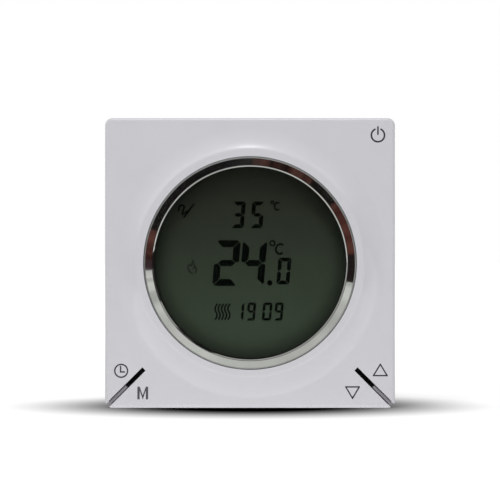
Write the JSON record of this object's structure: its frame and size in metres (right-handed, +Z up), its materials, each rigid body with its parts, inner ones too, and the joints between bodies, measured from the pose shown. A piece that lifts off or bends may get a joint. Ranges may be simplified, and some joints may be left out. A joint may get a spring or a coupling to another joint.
{
  "type": "wall thermostat",
  "caption": "Square flush wall thermostat with a round chrome-ringed display, touch-point corner keys, a steel mounting plate and a recessed power unit with wire terminals.",
  "frame": {"origin": "centre of the two wall screw slots, in the plane of the wall", "axes": "+Z up the wall, +X to the right as seen from the room, +Y into the wall; the front faces -Y"},
  "size_m": [0.086, 0.0382, 0.086],
  "materials": {
    "panel_plastic": "satin",
    "frame_plastic": "satin",
    "ring_chrome": "polished",
    "clear_lens": "polished",
    "black_tape": "matt",
    "white_plastic": "satin",
    "polarizer_film": "gloss",
    "display_glass": "polished",
    "guide_acrylic": "polished",
    "zebra_rubber": "matt",
    "board_green": "satin",
    "black_plastic": "satin",
    "chip_black": "satin",
    "bright_metal": "bright",
    "zinc_steel": "zinc plated",
    "spring_steel": "bright",
    "contact_gold": "plated",
    "relay_blue": "satin",
    "coil_tape": "satin",
    "film_yellow": "satin",
    "can_sleeve": "gloss",
    "varistor_blue": "satin",
    "terminal_green": "satin",
    "copper_tin": "tinned"
  },
  "bodies": {
    "wall_unit": {"mounting_plate": "zinc_steel", "rear_box": "black_plastic", "box_cover": "black_plastic", "power_board": "board_green", "connector_pins": "contact_gold", "relay": "relay_blue", "transformer": "coil_tape", "mains_capacitor": "film_yellow", "smoothing_capacitors": "can_sleeve", "varistor": "varistor_blue", "terminal_block": "terminal_green", "contact_bars": "copper_tin", "cover_screws": "zinc_steel", "box_screws": "zinc_steel"},
    "front_unit": {"front_panel": "panel_plastic", "trim_ring": "ring_chrome", "lens": "clear_lens", "lens_tape": "black_tape", "mid_frame": "frame_plastic", "display_holder": "white_plastic", "polarizers": "polarizer_film", "display_front_glass": "display_glass", "display_rear_glass": "display_glass", "light_guide": "guide_acrylic", "reflector_sheet": "white_plastic", "zebra_strips": "zebra_rubber", "backlight_leds": "white_plastic", "display_board": "board_green", "dust_film": "black_tape", "key_switches": "black_plastic", "microcontroller": "chip_black", "clock_crystal": "bright_metal", "battery_clip": "spring_steel", "backup_battery": "bright_metal", "room_sensor": "chip_black", "connector_socket": "black_plastic", "chip_parts": "chip_black", "board_screws": "zinc_steel"},
    "key_power": {"key_power": "panel_plastic"},
    "plunger_power": {"plunger_power": "white_plastic"},
    "key_clock": {"key_clock": "panel_plastic"},
    "plunger_clock": {"plunger_clock": "white_plastic"},
    "key_mode": {"key_mode": "panel_plastic"},
    "plunger_mode": {"plunger_mode": "white_plastic"},
    "key_down": {"key_down": "panel_plastic"},
    "plunger_down": {"plunger_down": "white_plastic"},
    "key_up": {"key_up": "panel_plastic"},
    "plunger_up": {"plunger_up": "white_plastic"},
    "terminal_screw_1": {"terminal_screw_1": "spring_steel"},
    "terminal_cage_1": {"terminal_cage_1": "spring_steel"},
    "terminal_screw_2": {"terminal_screw_2": "spring_steel"},
    "terminal_cage_2": {"terminal_cage_2": "spring_steel"},
    "terminal_screw_3": {"terminal_screw_3": "spring_steel"},
    "terminal_cage_3": {"terminal_cage_3": "spring_steel"},
    "terminal_screw_4": {"terminal_screw_4": "spring_steel"},
    "terminal_cage_4": {"terminal_cage_4": "spring_steel"},
    "terminal_screw_5": {"terminal_screw_5": "spring_steel"},
    "terminal_cage_5": {"terminal_cage_5": "spring_steel"},
    "terminal_screw_6": {"terminal_screw_6": "spring_steel"},
    "terminal_cage_6": {"terminal_cage_6": "spring_steel"}
  },
  "joints": [
    {"name": "front_pull_off", "type": "slide", "parent": "wall_unit", "child": "front_unit", "axis": [0, -1, 0], "range_m": [0, 0.03]},
    {"name": "key_power_press", "type": "hinge", "parent": "front_unit", "child": "key_power", "pos_m": [0.0314, -0.0134, 0.0314], "axis": [-0.7071, 0, 0.7071], "range_deg": [0, 2.8], "stiffness_Nm_per_rad": 0.06, "springref_deg": -1.15},
    {"name": "plunger_power_travel", "type": "slide", "parent": "front_unit", "child": "plunger_power", "axis": [0, 1, 0], "range_m": [0, 0.00023]},
    {"name": "key_clock_press", "type": "hinge", "parent": "front_unit", "child": "key_clock", "pos_m": [-0.0314, -0.0134, -0.0314], "axis": [0.7071, 0, -0.7071], "range_deg": [0, 2.8], "stiffness_Nm_per_rad": 0.06, "springref_deg": -1.15},
    {"name": "plunger_clock_travel", "type": "slide", "parent": "front_unit", "child": "plunger_clock", "axis": [0, 1, 0], "range_m": [0, 0.00023]},
    {"name": "key_mode_press", "type": "hinge", "parent": "front_unit", "child": "key_mode", "pos_m": [-0.0314, -0.0134, -0.0314], "axis": [0.7071, 0, -0.7071], "range_deg": [0, 2.8], "stiffness_Nm_per_rad": 0.06, "springref_deg": -1.15},
    {"name": "plunger_mode_travel", "type": "slide", "parent": "front_unit", "child": "plunger_mode", "axis": [0, 1, 0], "range_m": [0, 0.00023]},
    {"name": "key_down_press", "type": "hinge", "parent": "front_unit", "child": "key_down", "pos_m": [0.0314, -0.0134, -0.0314], "axis": [0.7071, 0, 0.7071], "range_deg": [0, 2.8], "stiffness_Nm_per_rad": 0.06, "springref_deg": -1.15},
    {"name": "plunger_down_travel", "type": "slide", "parent": "front_unit", "child": "plunger_down", "axis": [0, 1, 0], "range_m": [0, 0.00023]},
    {"name": "key_up_press", "type": "hinge", "parent": "front_unit", "child": "key_up", "pos_m": [0.0314, -0.0134, -0.0314], "axis": [0.7071, 0, 0.7071], "range_deg": [0, 2.8], "stiffness_Nm_per_rad": 0.06, "springref_deg": -1.15},
    {"name": "plunger_up_travel", "type": "slide", "parent": "front_unit", "child": "plunger_up", "axis": [0, 1, 0], "range_m": [0, 0.00023]},
    {"name": "terminal_screw_1_turn", "type": "hinge", "parent": "wall_unit", "child": "terminal_screw_1", "pos_m": [-0.01588, 0.0152, -0.0207], "axis": [0, -1, 0], "range_deg": [0, 1440]},
    {"name": "terminal_cage_1_rise", "type": "slide", "parent": "wall_unit", "child": "terminal_cage_1", "axis": [0, 1, 0], "range_m": [0, 0.002]},
    {"name": "terminal_screw_2_turn", "type": "hinge", "parent": "wall_unit", "child": "terminal_screw_2", "pos_m": [-0.00953, 0.0152, -0.0207], "axis": [0, -1, 0], "range_deg": [0, 1440]},
    {"name": "terminal_cage_2_rise", "type": "slide", "parent": "wall_unit", "child": "terminal_cage_2", "axis": [0, 1, 0], "range_m": [0, 0.002]},
    {"name": "terminal_screw_3_turn", "type": "hinge", "parent": "wall_unit", "child": "terminal_screw_3", "pos_m": [-0.00317, 0.0152, -0.0207], "axis": [0, -1, 0], "range_deg": [0, 1440]},
    {"name": "terminal_cage_3_rise", "type": "slide", "parent": "wall_unit", "child": "terminal_cage_3", "axis": [0, 1, 0], "range_m": [0, 0.002]},
    {"name": "terminal_screw_4_turn", "type": "hinge", "parent": "wall_unit", "child": "terminal_screw_4", "pos_m": [0.00317, 0.0152, -0.0207], "axis": [0, -1, 0], "range_deg": [0, 1440]},
    {"name": "terminal_cage_4_rise", "type": "slide", "parent": "wall_unit", "child": "terminal_cage_4", "axis": [0, 1, 0], "range_m": [0, 0.002]},
    {"name": "terminal_screw_5_turn", "type": "hinge", "parent": "wall_unit", "child": "terminal_screw_5", "pos_m": [0.00953, 0.0152, -0.0207], "axis": [0, -1, 0], "range_deg": [0, 1440]},
    {"name": "terminal_cage_5_rise", "type": "slide", "parent": "wall_unit", "child": "terminal_cage_5", "axis": [0, 1, 0], "range_m": [0, 0.002]},
    {"name": "terminal_screw_6_turn", "type": "hinge", "parent": "wall_unit", "child": "terminal_screw_6", "pos_m": [0.01588, 0.0152, -0.0207], "axis": [0, -1, 0], "range_deg": [0, 1440]},
    {"name": "terminal_cage_6_rise", "type": "slide", "parent": "wall_unit", "child": "terminal_cage_6", "axis": [0, 1, 0], "range_m": [0, 0.002]}
  ],
  "couplings": [
    {"joint": "plunger_power_travel", "follows": "key_power_press", "m_per_rad": 0.0045},
    {"joint": "plunger_clock_travel", "follows": "key_clock_press", "m_per_rad": 0.0045},
    {"joint": "plunger_mode_travel", "follows": "key_mode_press", "m_per_rad": 0.0045},
    {"joint": "plunger_down_travel", "follows": "key_down_press", "m_per_rad": 0.0045},
    {"joint": "plunger_up_travel", "follows": "key_up_press", "m_per_rad": 0.0045},
    {"joint": "terminal_screw_1_turn", "follows": "terminal_cage_1_rise", "rad_per_m": 12566},
    {"joint": "terminal_screw_2_turn", "follows": "terminal_cage_2_rise", "rad_per_m": 12566},
    {"joint": "terminal_screw_3_turn", "follows": "terminal_cage_3_rise", "rad_per_m": 12566},
    {"joint": "terminal_screw_4_turn", "follows": "terminal_cage_4_rise", "rad_per_m": 12566},
    {"joint": "terminal_screw_5_turn", "follows": "terminal_cage_5_rise", "rad_per_m": 12566},
    {"joint": "terminal_screw_6_turn", "follows": "terminal_cage_6_rise", "rad_per_m": 12566}
  ]
}
